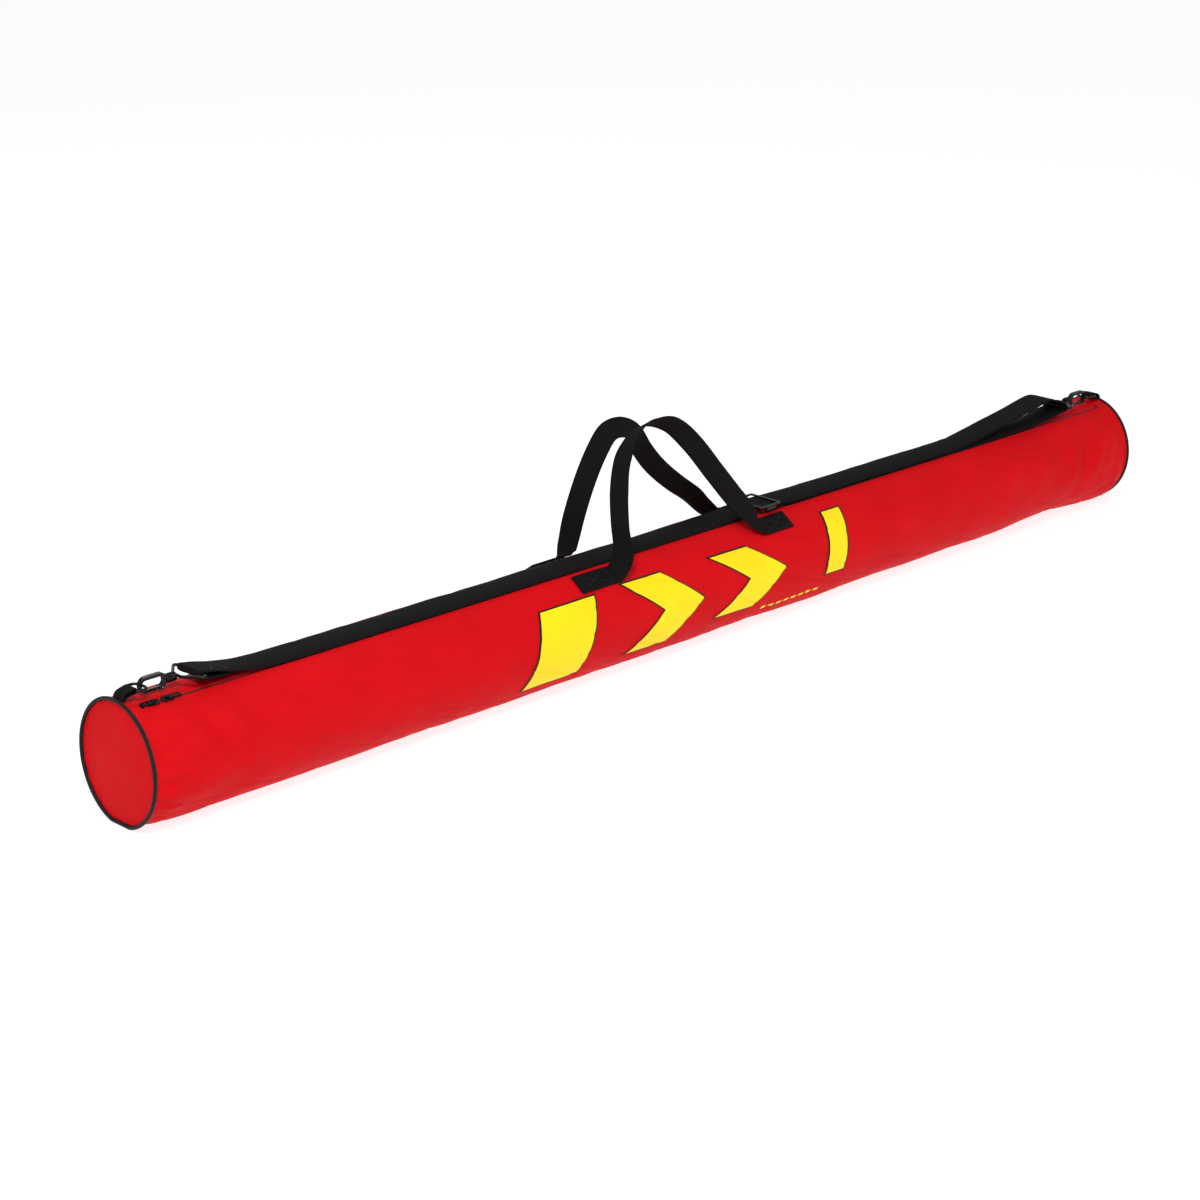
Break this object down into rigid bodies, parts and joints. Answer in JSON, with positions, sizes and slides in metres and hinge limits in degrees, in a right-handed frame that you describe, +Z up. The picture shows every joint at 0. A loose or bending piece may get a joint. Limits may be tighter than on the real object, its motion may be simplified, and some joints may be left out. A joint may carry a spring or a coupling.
{
  "type": "ski bag",
  "caption": "Long round fabric ski bag with piped end panels, a top zip, standing webbing handles and a clip-on shoulder strap.",
  "frame": {"origin": "on the floor, under the middle of the bag", "axes": "+X along the bag, from the end with the zip sliders to the other end; +Z up; the front, with the print, faces -Y"},
  "size_m": [2.0544, 0.1766, 0.3693],
  "materials": {
    "red_fabric": "woven polyester, matt",
    "black_piping": "woven binding over cord",
    "piping_cord": "plastic cord",
    "zip_tape": "woven tape",
    "zip_coil": "nylon coil",
    "zip_metal": "black plated",
    "dark_metal": "gunmetal plated",
    "bright_metal": "bright steel",
    "black_webbing": "flat woven webbing"
  },
  "bodies": {
    "bag": {"body_shell": "red_fabric", "left_end_panel": "red_fabric", "right_end_panel": "red_fabric", "left_piping": "black_piping", "right_piping": "black_piping", "left_piping_cord": "piping_cord", "right_piping_cord": "piping_cord", "zip_tape_front": "zip_tape", "zip_tape_back": "zip_tape", "zip_coil_front": "zip_coil", "zip_coil_back": "zip_coil", "zip_end_stops": "zip_metal", "left_end_tab": "black_webbing", "right_end_tab": "black_webbing", "left_swivel_eye": "dark_metal", "right_swivel_eye": "dark_metal", "shoulder_strap_left": "black_webbing", "shoulder_strap_middle": "black_webbing", "shoulder_strap_right": "black_webbing", "front_handle_left_end": "black_webbing", "front_handle_right_end": "black_webbing", "back_handle_left_end": "black_webbing", "back_handle_right_end": "black_webbing"},
    "zip_slider_right": {"zip_slider_right": "zip_metal"},
    "zip_pull_right": {"zip_pull_right": "zip_metal"},
    "zip_slider_left": {"zip_slider_left": "zip_metal"},
    "zip_pull_left": {"zip_pull_left": "zip_metal"},
    "left_ring": {"left_d_ring": "dark_metal"},
    "right_ring": {"right_d_ring": "dark_metal"},
    "left_hook": {"left_hook": "dark_metal", "left_gate_pin": "bright_metal", "left_gate_spring": "bright_metal"},
    "right_hook": {"right_hook": "dark_metal", "right_gate_pin": "bright_metal", "right_gate_spring": "bright_metal"},
    "left_gate": {"left_gate": "dark_metal"},
    "right_gate": {"right_gate": "dark_metal"},
    "strap_slide": {"strap_slide": "dark_metal", "strap_slide_bar": "dark_metal"},
    "front_handle": {"front_handle_loop": "black_webbing"},
    "back_handle": {"back_handle_loop": "black_webbing"}
  },
  "joints": [
    {"name": "right_slider_run", "type": "slide", "parent": "bag", "child": "zip_slider_right", "axis": [1, 0, 0], "range_m": [0, 1.93]},
    {"name": "right_pull_flip", "type": "hinge", "parent": "zip_slider_right", "child": "zip_pull_right", "pos_m": [-0.962, -0.02707, 0.16661], "axis": [0, 0.9584, 0.2853], "range_deg": [-120, 0]},
    {"name": "left_slider_run", "type": "slide", "parent": "bag", "child": "zip_slider_left", "axis": [1, 0, 0], "range_m": [-0.006, 0]},
    {"name": "left_pull_flip", "type": "hinge", "parent": "zip_slider_left", "child": "zip_pull_left", "pos_m": [-0.984, -0.02707, 0.16661], "axis": [0, 0.9584, 0.2853], "range_deg": [0, 120]},
    {"name": "left_ring_swing", "type": "hinge", "parent": "bag", "child": "left_ring", "pos_m": [-1.003, -0.006, 0.182], "axis": [0, 1, 0], "range_deg": [-3, 3]},
    {"name": "right_ring_swing", "type": "hinge", "parent": "bag", "child": "right_ring", "pos_m": [1.003, -0.006, 0.182], "axis": [0, 1, 0], "range_deg": [-3, 3]},
    {"name": "left_hook_swivel", "type": "hinge", "parent": "bag", "child": "left_hook", "pos_m": [-0.94, -0.006, 0.182], "axis": [1, 0, 0], "range_deg": [-20, 20]},
    {"name": "right_hook_swivel", "type": "hinge", "parent": "bag", "child": "right_hook", "pos_m": [0.94, -0.006, 0.182], "axis": [1, 0, 0], "range_deg": [-20, 20]},
    {"name": "left_gate_open", "type": "hinge", "parent": "left_hook", "child": "left_gate", "pos_m": [-0.956, -0.006, 0.1733], "axis": [0, 1, 0], "range_deg": [0, 25], "stiffness_Nm_per_rad": 0.004, "springref_deg": -20.05},
    {"name": "right_gate_open", "type": "hinge", "parent": "right_hook", "child": "right_gate", "pos_m": [0.956, -0.006, 0.1733], "axis": [0, -1, 0], "range_deg": [0, 25], "stiffness_Nm_per_rad": 0.004, "springref_deg": -20.05},
    {"name": "strap_slide_run", "type": "slide", "parent": "bag", "child": "strap_slide", "axis": [1, 0, 0], "range_m": [-0.25, 0]},
    {"name": "front_handle_fold", "type": "hinge", "parent": "bag", "child": "front_handle", "pos_m": [0, -0.058, 0.158], "axis": [1, 0, 0], "range_deg": [0, 110]},
    {"name": "back_handle_fold", "type": "hinge", "parent": "bag", "child": "back_handle", "pos_m": [0, 0.058, 0.158], "axis": [1, 0, 0], "range_deg": [-110, 0]}
  ]
}
